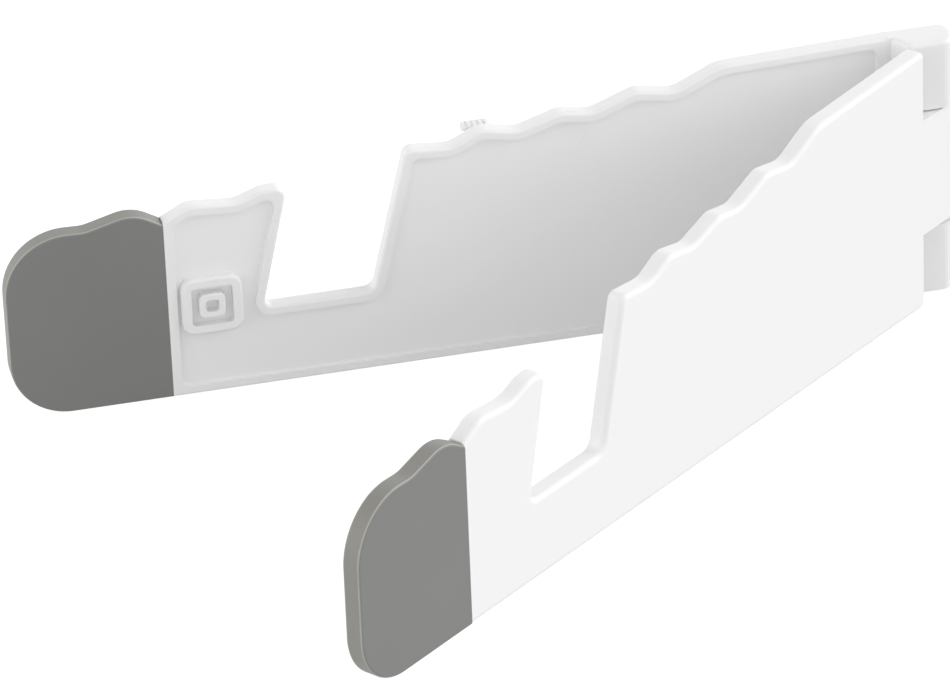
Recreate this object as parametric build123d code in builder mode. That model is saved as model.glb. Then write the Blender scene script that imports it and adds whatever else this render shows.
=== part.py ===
from build123d import *
import os
from math import cos, radians, sin

# Folding tablet stand: two mirrored upright legs joined at the back by a vertical knuckle hinge.
# +Z is up, the V opens towards -Y, and the origin is the middle of the footprint on the table.
# A leg is drawn in its own two directions: "reach" runs from the hinge axis to the tip, and
# "height" runs up from the table. "Outward" is away from the other leg. All sizes are in mm.

# ---- The V ----
SPREAD_ANGLE = 38.8          # angle between the legs, in degrees
LEFT = -1                    # side of the V on -X
RIGHT = 1                    # side of the V on +X

# ---- Plates ----
OUTER_OFFSET = 3.25          # hinge axis to a leg's outer face
PLATE_THICKNESS = 3.1
HINGE_HEIGHT = 45.4
HINGE_FLAT = 7.0             # reach of the level stretch of the top edge at the hinge
PLATE_START = 5.5            # reach where the plate itself begins, beside the knuckles
HINGE_TOP_ROUND = 1.0
HINGE_FOOT_ROUND = 1.2
GRIP_START = 123.1           # reach where the white plate ends and the soft grip begins
SEAM_TOP = (GRIP_START, 30.9)
LEG_REACH = 148.5
OUTER_EDGE_ROUND = 0.9
INNER_EDGE_ROUND = 0.5
INNER_OFFSET = OUTER_OFFSET - PLATE_THICKNESS

# ---- Slot for the tablet ----
SLOT_FLOOR = 13.6
SLOT_BACK_TOP = (84.3, 37.6)
SLOT_BACK_FOOT = (90.3, SLOT_FLOOR)
SLOT_FRONT_FOOT = (108.0, SLOT_FLOOR)
SLOT_FRONT_TOP = (103.2, 34.2)
SLOT_BACK_ROUND = 1.9
SLOT_FRONT_ROUND = 1.2
SLOT_TOP_ROUND = 1.6

# ---- Recessed panel on the inner face ----
RIM_WIDTH = 1.5
PANEL_DEPTH = 0.7
PANEL_START = 8.2            # reach where the panel begins, beside the hinge
PANEL_ROUND = 1.4
PANEL_EDGE_ROUND = 0.25

# ---- Hinge ----
KNUCKLE_GAP = 0.25
KNUCKLE_FOOT = 1.1           # the lowest knuckle stops short of the table
LOWER_SPLIT = 13.0           # heights where one leg's knuckles hand over to the other's
UPPER_SPLIT = 33.5
KNUCKLE_BACK = 3.9           # hinge axis to the block's back end
KNUCKLE_ROOT = 6.0           # reach where the knuckle block leaves the plate
KNUCKLE_END = 6.5            # the block is drawn on into the plate to here
KNUCKLE_FLAT = 4.2           # reach of the flat on the block's far side
KNUCKLE_BACK_ROUND = 2.2     # corner at the back of the leg's outer face
KNUCKLE_BARREL_ROUND = 2.6   # larger corner on the block's far side
KNUCKLE_STEP_ROUND = 1.1
KNUCKLE_TOP_ROUND = 0.9
WINDOW_OUTER = 5.5           # the plate is cut back to here at the other leg's knuckles
WINDOW_INNER = 6.7
PIN_RADIUS = 1.1
PIN_CLEARANCE = 0.06
PIN_TOP = 42.0
PIN_FOOT = 1.9               # the pin stops short of the table by this much
PIN_CHAMFER = 0.2

# ---- Closing latch, on the inner faces ----
LATCH_REACH = 116.2
LATCH_HEIGHT = 15.6
LATCH_OUTER = 9.8
LATCH_OPENING = 6.6
LATCH_POST = 4.2
LATCH_HOLE = 2.1
LATCH_RISE = 1.4             # above the panel floor
LATCH_CLEARANCE = 0.25
LATCH_CORNER = 2.2
LATCH_EDGE = 0.5             # rounding of the ring's outer rim
LATCH_INNER_EDGE = 0.25      # rounding of its opening, of the post and of the plug
LATCH_INNER_CORNER = 0.6
LATCH_POST_CORNER = 1.05
PLUG_OUTER = LATCH_OPENING - 2 * LATCH_CLEARANCE
PLUG_INNER = LATCH_POST + 2 * LATCH_CLEARANCE
EJECTOR_SPOT = (58.2, 37.0)
EJECTOR_RADIUS = 3.1
EJECTOR_DEPTH = 0.08

# ---- Overmoulded grips ----
GRIP_SEAM_TOP = (GRIP_START, 30.5)
GRIP_ROUND = 0.45
TONGUE_THICKNESS = 1.1
TONGUE_FOOT = 4.0
TONGUE_TOP = 26.0
TONGUE_END = 142.0
TONGUE_ROOT = GRIP_START - 2.0   # the tongue is drawn back into the plate to here
TONGUE_CORNER = 4.0
ANCHOR_RADIUS = 1.8
ANCHOR_SPOTS = [(133.5, 10.0), (133.5, 20.0)]

# ---- Fluted peg behind the left leg ----
PEG_REACH = 72.1
PEG_STANDOFF = 2.4           # peg axis to the leg's outer face
PEG_TOP = 38.05
PEG_HEAD_LENGTH = 4.7        # the head is oblong, longest along the leg
PEG_HEAD_WIDTH = 2.2
PEG_HEAD_CORNER = 1.0
PEG_HEAD_THICKNESS = 0.95
PEG_HEAD_ROUND = 0.35
PEG_FLUTES = 4
PEG_FLUTE_PITCH = 0.95
PEG_FLUTE_RADIUS = 0.24
PEG_STEM_RADIUS = 0.8
PEG_STEM_LENGTH = 9.0
LUG_WIDTH = 3.2
LUG_HEIGHT = 6.0
LUG_GAP = 2.4                # clear height between the head and the lug
LUG_ROOT = 1.0               # how far the lug is drawn back into the plate
LUG_TOP = PEG_TOP - PEG_HEAD_THICKNESS - LUG_GAP

HALF_ANGLE = radians(SPREAD_ANGLE / 2)
PANEL_FLOOR = INNER_OFFSET + PANEL_DEPTH
MID_OFFSET = OUTER_OFFSET - PLATE_THICKNESS / 2

# The hinge axis sits behind the origin so that the footprint's box is centred on it.
FRONT_CORNER = (
    cos(HALF_ANGLE) * (LEG_REACH - GRIP_ROUND)
    - sin(HALF_ANGLE) * (INNER_OFFSET + GRIP_ROUND)
    + GRIP_ROUND
)
BACK_CORNER = (
    cos(HALF_ANGLE) * (KNUCKLE_BACK - KNUCKLE_BACK_ROUND)
    + sin(HALF_ANGLE) * (OUTER_OFFSET - KNUCKLE_BACK_ROUND)
    + KNUCKLE_BACK_ROUND
)
HINGE_Y = (FRONT_CORNER - BACK_CORNER) / 2

# Each leg's knuckles, as (low, high) heights. The two legs take turns along the pin.
LEFT_KNUCKLES = [
    (KNUCKLE_FOOT, LOWER_SPLIT - KNUCKLE_GAP / 2),
    (UPPER_SPLIT + KNUCKLE_GAP / 2, HINGE_HEIGHT),
]
RIGHT_KNUCKLES = [(LOWER_SPLIT + KNUCKLE_GAP / 2, UPPER_SPLIT - KNUCKLE_GAP / 2)]


def along(side):
    """Unit vector from the hinge axis towards a leg's tip."""
    return Vector(side * sin(HALF_ANGLE), -cos(HALF_ANGLE), 0)


def outward(side):
    """Unit vector out of a leg's outer face."""
    return Vector(side * cos(HALF_ANGLE), sin(HALF_ANGLE), 0)


def side_plane(side, offset):
    """Plane along a leg, this far outward of the hinge axis: X is reach and Y is height."""
    origin = Vector(0, HINGE_Y, 0) + outward(side) * offset
    return Plane(origin=origin, x_dir=along(side), z_dir=outward(side) * -side)


def plan_plane(side, height):
    """Level plane on the hinge axis: X is reach and Y is outward."""
    return Plane(origin=(0, HINGE_Y, height), x_dir=along(side), z_dir=(0, 0, side))


def plate_profile():
    """Side view of the white plate, from beside the knuckles to the start of the grip."""
    with BuildSketch() as profile:
        with BuildLine():
            FilletPolyline(
                SEAM_TOP, (119.0, 33.1), (111.5, 32.4), (107.5, 33.9), SLOT_FRONT_TOP, SLOT_FRONT_FOOT,
                SLOT_BACK_FOOT, SLOT_BACK_TOP, (77.1, 36.9), (72.2, 39.3), (66.35, 38.15), (59.55, 40.3),
                (54.5, 39.45), (47.2, 42.2), (41.1, 41.1), (33.85, 44.5), (HINGE_FLAT, HINGE_HEIGHT),
                (PLATE_START, HINGE_HEIGHT), (PLATE_START, 0), (GRIP_START, 0),
                radius=[
                    4.0, 6.0, 3.0, SLOT_TOP_ROUND, SLOT_FRONT_ROUND, SLOT_BACK_ROUND, SLOT_TOP_ROUND,
                    5.0, 3.5, 4.0, 3.0, 4.5, 3.0, 4.5, 6.0, 20.0, HINGE_TOP_ROUND, HINGE_FOOT_ROUND,
                ],
            )
            Line((GRIP_START, 0), SEAM_TOP)
        make_face()
    return profile.sketch


def grip_profile():
    """Side view of the grip, from its seam with the plate to the rounded tip."""
    with BuildSketch() as profile:
        with BuildLine():
            FilletPolyline(
                GRIP_SEAM_TOP, (127.6, 33.2), (135.4, 31.1), (LEG_REACH, 31.6), (LEG_REACH, 0),
                (GRIP_START, 0),
                radius=[6.5, 6.0, 10.0, 9.5],
            )
            Line((GRIP_START, 0), GRIP_SEAM_TOP)
        make_face()
    return profile.sketch


def panel_profile():
    """The recessed panel: the plate's own outline, drawn in by the rim's width, corners rounded."""
    with BuildSketch() as profile:
        add(plate_profile())
        offset(amount=-RIM_WIDTH, kind=Kind.INTERSECTION)
        with Locations((PANEL_START / 2, HINGE_HEIGHT / 2)):
            Rectangle(PANEL_START, HINGE_HEIGHT * 2, mode=Mode.SUBTRACT)
        offset(amount=-PANEL_ROUND, kind=Kind.INTERSECTION)
        offset(amount=PANEL_ROUND, kind=Kind.ARC)
    return profile.sketch


def tongue_profile():
    """The thin core that the grip is moulded around, with its two anchor holes."""
    with BuildSketch() as profile:
        with BuildLine():
            FilletPolyline(
                (TONGUE_ROOT, TONGUE_FOOT), (TONGUE_END, TONGUE_FOOT),
                (TONGUE_END, TONGUE_TOP), (TONGUE_ROOT, TONGUE_TOP),
                radius=[TONGUE_CORNER, TONGUE_CORNER],
            )
            Line((TONGUE_ROOT, TONGUE_TOP), (TONGUE_ROOT, TONGUE_FOOT))
        make_face()
        with Locations(ANCHOR_SPOTS):
            Circle(ANCHOR_RADIUS, mode=Mode.SUBTRACT)
    return profile.sketch


def knuckle_profile():
    """Plan view of a knuckle: a rounded block round the pin, which steps down into the plate."""
    with BuildSketch() as profile:
        with BuildLine():
            FilletPolyline(
                (KNUCKLE_END, OUTER_OFFSET), (-KNUCKLE_BACK, OUTER_OFFSET), (-KNUCKLE_BACK, -OUTER_OFFSET),
                (KNUCKLE_FLAT, -OUTER_OFFSET), (KNUCKLE_ROOT, INNER_OFFSET),
                radius=[KNUCKLE_BACK_ROUND, KNUCKLE_BARREL_ROUND, KNUCKLE_STEP_ROUND],
            )
            Polyline((KNUCKLE_ROOT, INNER_OFFSET), (KNUCKLE_END, INNER_OFFSET), (KNUCKLE_END, OUTER_OFFSET))
        make_face()
    return profile.sketch


def window_profile():
    """Plan view of what is cut from a plate to let the other leg's knuckles in."""
    with BuildSketch() as profile:
        with BuildLine():
            Polyline(
                (-1, INNER_OFFSET - 1), (WINDOW_INNER, INNER_OFFSET - 1), (WINDOW_INNER, INNER_OFFSET),
                (WINDOW_OUTER, OUTER_OFFSET), (WINDOW_OUTER, OUTER_OFFSET + 1), (-1, OUTER_OFFSET + 1),
                close=True,
            )
        make_face()
    return profile.sketch


def reach_of(edge, side):
    """How far along a leg the middle of an edge lies."""
    return (edge.center() - Vector(0, HINGE_Y, 0)).dot(along(side))


def plate_blank(side):
    """The rounded plate with its recessed panel."""
    with BuildPart() as blank:
        with BuildSketch(side_plane(side, OUTER_OFFSET)):
            add(plate_profile())
        extrude(amount=PLATE_THICKNESS, dir=outward(side) * -1)
        sides = blank.faces().sort_by(SortBy.AREA)[-2:].sort_by(lambda f: f.center().dot(outward(side)))
        for face, radius in zip(sides, (INNER_EDGE_ROUND, OUTER_EDGE_ROUND)):
            outline = [e for e in face.edges() if PLATE_START + 0.1 < reach_of(e, side) < GRIP_START - 0.1]
            fillet(outline, radius)
        with BuildSketch(side_plane(side, INNER_OFFSET)):
            add(panel_profile())
        extrude(amount=PANEL_DEPTH, dir=outward(side), mode=Mode.SUBTRACT)
        floor = blank.faces().filter_by(side_plane(side, 0)).sort_by(SortBy.AREA)[-2:]
        floor = floor.sort_by(lambda f: f.center().dot(outward(side)))[0]
        fillet(floor.edges(), PANEL_EDGE_ROUND)
    return blank.part


def knuckle_blank(side, low, high):
    """One knuckle. The one at the top of the hinge has a rounded top edge."""
    with BuildPart() as blank:
        with BuildSketch(plan_plane(side, low)):
            add(knuckle_profile())
        extrude(amount=high - low, dir=(0, 0, 1))
        if high == HINGE_HEIGHT:
            rim = blank.edges().group_by(Axis.Z)[-1]
            fillet([e for e in rim if reach_of(e, side) < KNUCKLE_ROOT - 0.1], KNUCKLE_TOP_ROUND)
    return blank.part


def leg_blank(side, own_knuckles, other_knuckles):
    """One moulded leg without its latch: plate, tongue, hinge knuckles and windows."""
    with BuildPart() as blank:
        add(plate_blank(side))
        for low, high in other_knuckles:
            with BuildSketch(plan_plane(side, low - KNUCKLE_GAP)):
                add(window_profile())
            extrude(amount=high - low + 2 * KNUCKLE_GAP, dir=(0, 0, 1), mode=Mode.SUBTRACT)
        for low, high in own_knuckles:
            add(knuckle_blank(side, low, high))
        with BuildSketch(side_plane(side, MID_OFFSET)):
            add(tongue_profile())
        extrude(amount=TONGUE_THICKNESS / 2, both=True)
    return blank.part


def square_tube(side, outer, corner, edge, inner):
    """A rounded square tube standing on the panel at the latch."""
    with BuildPart() as tube:
        with BuildSketch(side_plane(side, PANEL_FLOOR)):
            with Locations((LATCH_REACH, LATCH_HEIGHT)):
                RectangleRounded(outer, outer, corner)
        extrude(amount=LATCH_RISE, dir=outward(side) * -1)
        top = tube.faces().sort_by(lambda f: f.center().dot(outward(side)))[0]
        fillet(top.edges(), edge)
        with BuildSketch(side_plane(side, PANEL_FLOOR)):
            with Locations((LATCH_REACH, LATCH_HEIGHT)):
                RectangleRounded(inner, inner, LATCH_INNER_CORNER)
        extrude(amount=LATCH_RISE, dir=outward(side) * -1, mode=Mode.SUBTRACT)
    return tube.part


def grip_blank(side):
    """One soft grip, moulded round the leg's tongue and through its anchor holes."""
    with BuildPart() as blank:
        with BuildSketch(side_plane(side, OUTER_OFFSET)):
            add(grip_profile())
        extrude(amount=PLATE_THICKNESS, dir=outward(side) * -1)
        faces = blank.faces().sort_by(SortBy.AREA)[-2:]
        rims = faces[0].edges() + faces[1].edges()
        fillet([e for e in rims if reach_of(e, side) > GRIP_START + 0.1], GRIP_ROUND)
        with BuildSketch(side_plane(side, MID_OFFSET)):
            add(tongue_profile())
        extrude(amount=TONGUE_THICKNESS / 2, both=True, mode=Mode.SUBTRACT)
    return blank.part


with BuildPart() as left_leg:
    add(leg_blank(LEFT, LEFT_KNUCKLES, RIGHT_KNUCKLES))
    # Latch socket: a square ring round a hollow square post.
    add(square_tube(LEFT, LATCH_OUTER, LATCH_CORNER, LATCH_EDGE, LATCH_OPENING))
    add(square_tube(LEFT, LATCH_POST, LATCH_POST_CORNER, LATCH_INNER_EDGE, LATCH_HOLE))
    # Ejector mark on the panel.
    with BuildSketch(side_plane(LEFT, PANEL_FLOOR)):
        with Locations(EJECTOR_SPOT):
            Circle(EJECTOR_RADIUS)
    extrude(amount=EJECTOR_DEPTH, dir=outward(LEFT), mode=Mode.SUBTRACT)
    # Lug that holds the fluted peg clear of the outer face.
    with BuildSketch(plan_plane(LEFT, LUG_TOP)):
        with Locations((PEG_REACH, OUTER_OFFSET + PEG_STANDOFF)):
            Circle(LUG_WIDTH / 2)
        with Locations((PEG_REACH, OUTER_OFFSET + PEG_STANDOFF / 2 - LUG_ROOT / 2)):
            Rectangle(LUG_WIDTH, PEG_STANDOFF + LUG_ROOT)
    extrude(amount=LUG_HEIGHT, dir=(0, 0, -1))
    with BuildSketch(plan_plane(LEFT, PEG_TOP)):
        with Locations((PEG_REACH, OUTER_OFFSET + PEG_STANDOFF)):
            Circle(PEG_STEM_RADIUS)
    extrude(amount=PEG_STEM_LENGTH, dir=(0, 0, -1), mode=Mode.SUBTRACT)
    # Blind pin bore, a press fit, open at the foot.
    with BuildSketch(plan_plane(LEFT, 0)):
        Circle(PIN_RADIUS)
    extrude(amount=PIN_TOP, dir=(0, 0, 1), mode=Mode.SUBTRACT)

with BuildPart() as right_leg:
    add(leg_blank(RIGHT, RIGHT_KNUCKLES, LEFT_KNUCKLES))
    # Latch plug: a square tube that fills the groove between the socket's ring and post.
    add(square_tube(RIGHT, PLUG_OUTER, LATCH_INNER_CORNER, LATCH_INNER_EDGE, PLUG_INNER))
    # Ejector mark on the panel.
    with BuildSketch(side_plane(RIGHT, PANEL_FLOOR)):
        with Locations(EJECTOR_SPOT):
            Circle(EJECTOR_RADIUS)
    extrude(amount=EJECTOR_DEPTH, dir=outward(RIGHT), mode=Mode.SUBTRACT)
    # Running fit for the pin.
    with BuildSketch(plan_plane(RIGHT, 0)):
        Circle(PIN_RADIUS + PIN_CLEARANCE)
    extrude(amount=HINGE_HEIGHT, dir=(0, 0, 1), mode=Mode.SUBTRACT)

with BuildPart() as left_grip:
    add(grip_blank(LEFT))

with BuildPart() as right_grip:
    add(grip_blank(RIGHT))

with BuildPart() as hinge_pin:
    with BuildSketch(plan_plane(LEFT, PIN_FOOT)):
        Circle(PIN_RADIUS)
    extrude(amount=PIN_TOP - PIN_FOOT, dir=(0, 0, 1))
    ends = hinge_pin.faces().filter_by(GeomType.PLANE).edges()
    chamfer(ends, PIN_CHAMFER)

with BuildPart() as fluted_peg:
    with BuildSketch(plan_plane(LEFT, PEG_TOP)):
        with Locations((PEG_REACH, OUTER_OFFSET + PEG_STANDOFF)):
            RectangleRounded(PEG_HEAD_LENGTH, PEG_HEAD_WIDTH, PEG_HEAD_CORNER)
    extrude(amount=PEG_HEAD_THICKNESS, dir=(0, 0, -1))
    fillet(fluted_peg.edges().group_by(Axis.Z)[-1], PEG_HEAD_ROUND)
    # Flutes run across the top of the head.
    with BuildSketch(side_plane(LEFT, OUTER_OFFSET)):
        with Locations((PEG_REACH, PEG_TOP)):
            with GridLocations(PEG_FLUTE_PITCH, 0, PEG_FLUTES, 1):
                Circle(PEG_FLUTE_RADIUS)
    extrude(amount=PEG_STANDOFF + PEG_HEAD_WIDTH, dir=outward(LEFT), mode=Mode.SUBTRACT)
    with BuildSketch(plan_plane(LEFT, PEG_TOP - PEG_HEAD_THICKNESS)):
        with Locations((PEG_REACH, OUTER_OFFSET + PEG_STANDOFF)):
            Circle(PEG_STEM_RADIUS)
    extrude(amount=PEG_STEM_LENGTH - PEG_HEAD_THICKNESS, dir=(0, 0, -1))

os.makedirs("parts", exist_ok=True)
pieces = {
    "left_leg": left_leg,
    "right_leg": right_leg,
    "left_grip": left_grip,
    "right_grip": right_grip,
    "hinge_pin": hinge_pin,
    "fluted_peg": fluted_peg,
}
for name, piece in pieces.items():
    piece.part.label = name
    export_step(piece.part, f"parts/{name}.step")
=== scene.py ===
import math

import bpy
from mathutils import Matrix, Vector

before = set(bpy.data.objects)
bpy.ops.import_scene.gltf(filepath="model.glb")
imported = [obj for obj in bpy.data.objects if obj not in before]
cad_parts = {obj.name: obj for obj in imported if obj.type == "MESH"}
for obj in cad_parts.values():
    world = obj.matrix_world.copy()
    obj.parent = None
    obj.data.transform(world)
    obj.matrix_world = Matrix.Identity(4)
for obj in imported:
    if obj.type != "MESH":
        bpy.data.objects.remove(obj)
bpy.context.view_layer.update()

# Folding tablet stand. The CAD nodes keep their shapes; this script gives them their moulded
# materials and sets the studio: camera, pale floor and soft lights. Metres, same frame as the CAD.

# ---- Camera ----
CAMERA_AZIMUTH = math.radians(58.4)
CAMERA_ELEVATION = math.radians(29.18)
CAMERA_ROLL = math.radians(-2.31)
CAMERA_AIM = Vector((-0.0267, -0.00135, -0.0006))
CAMERA_DISTANCE = 1.090
LENS_MM = 260.9
SENSOR_MM = 36.0
CLIP_NEAR = 0.01
CLIP_FAR = 20.0

# ---- Materials ----
HALF_SPREAD = math.radians(19.4)          # half the angle between the legs
WHITE_TONES = ((0.825, 0.82, 0.82), (0.855, 0.85, 0.85))
WHITE_ROUGHNESS = (0.34, 0.42)
WHITE_SCATTER = 0.15                      # share of the light that goes a little way in
WHITE_SCATTER_DEPTH = 0.0012
GRIP_FLAT_TONES = ((0.164, 0.169, 0.16), (0.188, 0.193, 0.183))
# Painted light: the grips' rims get a lighter, warmer tone than their flat sides.
GRIP_RIM_PAINTED_LIGHT_TONES = ((0.236, 0.232, 0.21), (0.264, 0.258, 0.236))
# Painted highlight: a pale line on the grips' rounded edges, placed by which way the surface faces.
GRIP_EDGE_HIGHLIGHT_TONES = ((0.5, 0.5, 0.465), (0.7, 0.7, 0.655))
GRIP_ROUGHNESS = (0.44, 0.54)
GRIP_EDGE_HIGHLIGHT_SHARPNESS = 4.0                 # how narrow the painted highlight line on the rounded edges is
GRIP_EDGE_HIGHLIGHT_STRENGTH = 0.5                      # how strongly the painted highlight shows
PIN_TONES = ((0.52, 0.52, 0.54), (0.64, 0.64, 0.66))
PIN_ROUGHNESS = (0.25, 0.4)

# ---- Studio ----
FLOOR_SIDE = 6.0
FLOOR_GLOW = 0.86                         # the floor is a lit table: mostly its own soft glow
FLOOR_WHITE = 0.30                        # and a little of what falls on it, for faint shadows
FLOOR_ROUGHNESS = 0.9
SKY_BELOW = 0.42                          # stands in for the glow that the table gives the object
SKY_HORIZON = 1.85                        # a soft ring of light round the object
SKY_ZENITH = 0.15
HORIZON_BLUR = 0.001
LIGHT_SOFTNESS = math.radians(50)
KEY_FROM = (0.39, 0.74, 0.54)
KEY_STRENGTH = 1.42
KEY_COLOUR = (0.955, 0.955, 1.0)
FILL_FROM = (-0.33, -0.94, 0.6)
FILL_STRENGTH = 0.55
FILL_COLOUR = (1.0, 1.0, 1.0)


def add_camera():
    """The viewing angle: a long lens from the right and above, with a slight roll."""
    back = Vector((
        math.sin(CAMERA_AZIMUTH) * math.cos(CAMERA_ELEVATION),
        -math.cos(CAMERA_AZIMUTH) * math.cos(CAMERA_ELEVATION),
        math.sin(CAMERA_ELEVATION),
    ))
    level = Vector((math.cos(CAMERA_AZIMUTH), math.sin(CAMERA_AZIMUTH), 0.0))
    upright = back.cross(level)
    right = level * math.cos(CAMERA_ROLL) + upright * math.sin(CAMERA_ROLL)
    up = back.cross(right)
    data = bpy.data.cameras.new("camera")
    data.lens = LENS_MM
    data.sensor_width = SENSOR_MM
    data.clip_start = CLIP_NEAR
    data.clip_end = CLIP_FAR
    camera = bpy.data.objects.new("camera", data)
    place = Matrix((right, up, back)).transposed().to_4x4()
    place.translation = CAMERA_AIM + back * CAMERA_DISTANCE
    camera.matrix_world = place
    bpy.context.scene.collection.objects.link(camera)
    bpy.context.scene.camera = camera


def new_material(name):
    """A new material, with its node tree and its shader."""
    material = bpy.data.materials.new(name)
    material.use_nodes = True
    return material, material.node_tree, material.node_tree.nodes["Principled BSDF"]


def noise(tree, coords, scale, detail):
    """A 0 to 1 noise over the object, in its own space."""
    texture = tree.nodes.new("ShaderNodeTexNoise")
    texture.inputs["Scale"].default_value = scale
    texture.inputs["Detail"].default_value = detail
    tree.links.new(coords.outputs["Object"], texture.inputs["Vector"])
    return texture.outputs["Fac"]


def span(tree, source, limits):
    """Maps a 0 to 1 value to a range of values."""
    node = tree.nodes.new("ShaderNodeMapRange")
    node.inputs["To Min"].default_value, node.inputs["To Max"].default_value = limits
    tree.links.new(source, node.inputs["Value"])
    return node.outputs["Result"]


def tones(tree, source, colours):
    """Maps a 0 to 1 value to a colour between two."""
    ramp = tree.nodes.new("ShaderNodeValToRGB")
    for stop, colour in zip(ramp.color_ramp.elements, colours):
        stop.color = (*colour, 1.0)
    tree.links.new(source, ramp.inputs["Fac"])
    return ramp.outputs["Color"]


def mix_colours(tree, mask, below, above):
    """The colour below where the mask is 0, going to the one above where it is 1."""
    mix = tree.nodes.new("ShaderNodeMix")
    mix.data_type = "RGBA"
    sockets = (s for s in mix.inputs if s.enabled)
    for source, socket in zip((mask, below, above), sockets):
        tree.links.new(source, socket)
    return next(s for s in mix.outputs if s.enabled)


def calculate(tree, operation, *values):
    """One sum. Each value is a socket or a number."""
    node = tree.nodes.new("ShaderNodeMath")
    node.operation = operation
    for socket, value in zip(node.inputs, values):
        if isinstance(value, bpy.types.NodeSocket):
            tree.links.new(value, socket)
        else:
            socket.default_value = value
    return node.outputs["Value"]


def split(tree, vector):
    """The X, Y and Z of a vector."""
    node = tree.nodes.new("ShaderNodeSeparateXYZ")
    tree.links.new(vector, node.inputs["Vector"])
    return node.outputs


def add_bump(tree, shader, height, distance, strength):
    bump = tree.nodes.new("ShaderNodeBump")
    bump.inputs["Distance"].default_value = distance
    bump.inputs["Strength"].default_value = strength
    tree.links.new(height, bump.inputs["Height"])
    tree.links.new(bump.outputs["Normal"], shader.inputs["Normal"])


def white_plastic():
    material, tree, shader = new_material("white_plastic")
    coords = tree.nodes.new("ShaderNodeTexCoord")
    cloud = noise(tree, coords, scale=30.0, detail=3.0)
    grain = noise(tree, coords, scale=2500.0, detail=2.0)
    tree.links.new(tones(tree, cloud, WHITE_TONES), shader.inputs["Base Color"])
    tree.links.new(span(tree, cloud, WHITE_ROUGHNESS), shader.inputs["Roughness"])
    add_bump(tree, shader, grain, distance=0.00002, strength=0.12)
    shader.inputs["Subsurface Weight"].default_value = WHITE_SCATTER
    shader.inputs["Subsurface Radius"].default_value = (WHITE_SCATTER_DEPTH,) * 3
    return material


def grip_masks(tree, coords):
    """Two masks, both 0 on a grip's flat sides: a painted-highlight mask, 1 halfway round its
    rounded edges, and a painted-light mask, 1 on its rim.
    """
    place = split(tree, coords.outputs["Object"])
    facing = split(tree, coords.outputs["Normal"])
    side = calculate(tree, "SIGN", place["X"])
    across = calculate(tree, "MULTIPLY", facing["X"], side)
    across = calculate(tree, "MULTIPLY", across, math.cos(HALF_SPREAD))
    along = calculate(tree, "MULTIPLY", facing["Y"], math.sin(HALF_SPREAD))
    flat = calculate(tree, "ABSOLUTE", calculate(tree, "ADD", across, along))
    rim_light_mask = calculate(tree, "SUBTRACT", 1.0, flat)
    # The product of the two is at most a quarter, halfway between them.
    edge_highlight_mask = calculate(tree, "MULTIPLY", flat, rim_light_mask)
    edge_highlight_mask = calculate(tree, "MULTIPLY", edge_highlight_mask, 4.0)
    return calculate(tree, "POWER", edge_highlight_mask, GRIP_EDGE_HIGHLIGHT_SHARPNESS), rim_light_mask


def soft_grip():
    material, tree, shader = new_material("soft_grip")
    coords = tree.nodes.new("ShaderNodeTexCoord")
    edge_highlight_mask, rim_light_mask = grip_masks(tree, coords)
    cloud = noise(tree, coords, scale=45.0, detail=4.0)
    grain = noise(tree, coords, scale=3500.0, detail=3.0)
    flats, lit_rim_tones, edge_highlight_tones = (
        tones(tree, cloud, pair) for pair in (GRIP_FLAT_TONES, GRIP_RIM_PAINTED_LIGHT_TONES, GRIP_EDGE_HIGHLIGHT_TONES)
    )
    # The painted highlight on the rounded edges, mixed over the body colour.
    edge_highlight = calculate(tree, "MULTIPLY", edge_highlight_mask, GRIP_EDGE_HIGHLIGHT_STRENGTH)
    # Painted light: the rim takes the lighter tone.
    body_with_lit_rim = mix_colours(tree, rim_light_mask, flats, lit_rim_tones)
    tree.links.new(mix_colours(tree, edge_highlight, body_with_lit_rim, edge_highlight_tones), shader.inputs["Base Color"])
    tree.links.new(span(tree, cloud, GRIP_ROUGHNESS), shader.inputs["Roughness"])
    add_bump(tree, shader, grain, distance=0.00003, strength=0.2)
    return material


def steel_pin():
    material, tree, shader = new_material("steel_pin")
    coords = tree.nodes.new("ShaderNodeTexCoord")
    drawn = noise(tree, coords, scale=900.0, detail=2.0)
    tree.links.new(tones(tree, drawn, PIN_TONES), shader.inputs["Base Color"])
    tree.links.new(span(tree, drawn, PIN_ROUGHNESS), shader.inputs["Roughness"])
    shader.inputs["Metallic"].default_value = 1.0
    return material


def dress_nodes():
    """Gives each CAD node its finish."""
    white, grip, steel = white_plastic(), soft_grip(), steel_pin()
    finish = {
        "left_leg": white, "right_leg": white, "fluted_peg": white,
        "left_grip": grip, "right_grip": grip, "hinge_pin": steel,
    }
    for name, material in finish.items():
        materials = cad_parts[name].data.materials
        for index in range(len(materials)):
            materials[index] = material


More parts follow.
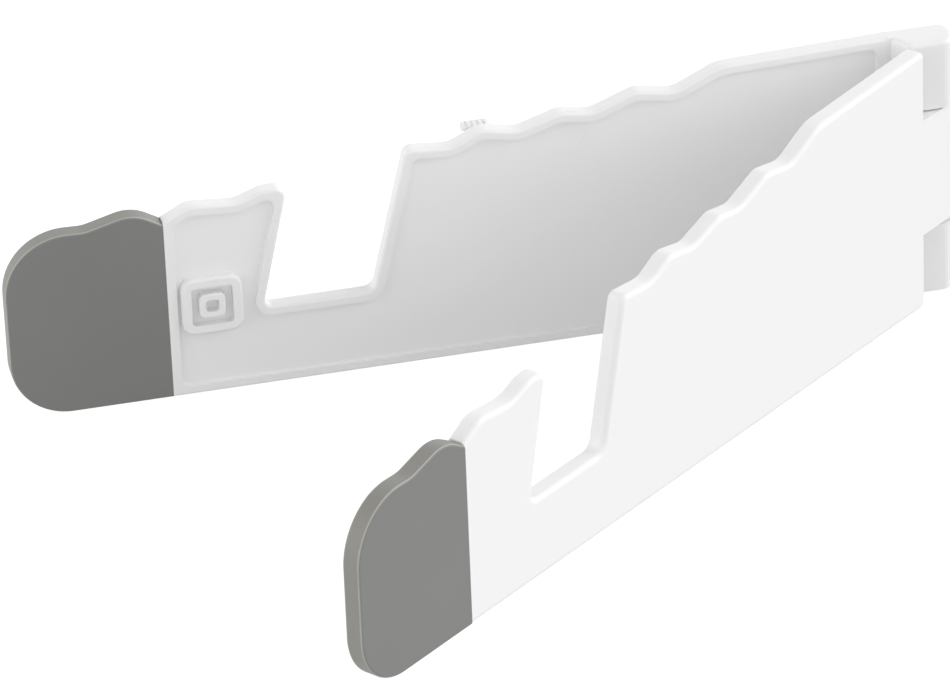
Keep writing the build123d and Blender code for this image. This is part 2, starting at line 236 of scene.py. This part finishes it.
def add_floor():
    half = FLOOR_SIDE / 2
    mesh = bpy.data.meshes.new("floor")
    corners = [(-half, -half, 0), (half, -half, 0), (half, half, 0), (-half, half, 0)]
    mesh.from_pydata(corners, [], [(0, 1, 2, 3)])
    floor = bpy.data.objects.new("floor", mesh)
    bpy.context.scene.collection.objects.link(floor)
    material, _, shader = new_material("floor")
    shader.inputs["Base Color"].default_value = (FLOOR_WHITE, FLOOR_WHITE, FLOOR_WHITE, 1.0)
    shader.inputs["Roughness"].default_value = FLOOR_ROUGHNESS
    shader.inputs["Specular IOR Level"].default_value = 0.0
    shader.inputs["Emission Color"].default_value = (1.0, 1.0, 1.0, 1.0)
    shader.inputs["Emission Strength"].default_value = FLOOR_GLOW
    mesh.materials.append(material)
    # The object takes its light from below from the sky instead, dimmer than the white floor.
    floor.visible_diffuse = False


def add_sky():
    """A sky that is graded by height: a bright ring, dim overhead and dim from below."""
    world = bpy.data.worlds.new("studio")
    world.use_nodes = True
    tree = world.node_tree
    coords = tree.nodes.new("ShaderNodeTexCoord")
    height = tree.nodes.new("ShaderNodeMapRange")
    height.inputs["From Min"].default_value = -1.0
    tree.links.new(split(tree, coords.outputs["Generated"])["Z"], height.inputs["Value"])
    ramp = tree.nodes.new("ShaderNodeValToRGB")
    stops = ramp.color_ramp.elements
    stops.new(0.5 + HORIZON_BLUR)
    stops[0].position = 0.5 - HORIZON_BLUR
    for stop, strength in zip(stops, (SKY_BELOW, SKY_HORIZON, SKY_ZENITH)):
        share = strength / SKY_HORIZON
        stop.color = (share, share, share, 1.0)
    tree.links.new(height.outputs["Result"], ramp.inputs["Fac"])
    background = tree.nodes["Background"]
    tree.links.new(ramp.outputs["Color"], background.inputs["Color"])
    background.inputs["Strength"].default_value = SKY_HORIZON
    bpy.context.scene.world = world


def add_light(name, source, strength, colour):
    """A very soft, distant light from the direction of source."""
    data = bpy.data.lights.new(name, "SUN")
    data.energy = strength
    data.angle = LIGHT_SOFTNESS
    data.color = colour
    light = bpy.data.objects.new(name, data)
    light.rotation_euler = Vector(source).to_track_quat("Z", "Y").to_euler()
    bpy.context.scene.collection.objects.link(light)


def add_studio():
    bpy.context.scene.view_settings.view_transform = "Standard"
    add_sky()
    add_light("key", KEY_FROM, KEY_STRENGTH, KEY_COLOUR)
    add_light("fill", FILL_FROM, FILL_STRENGTH, FILL_COLOUR)


add_camera()
dress_nodes()
add_floor()
add_studio()
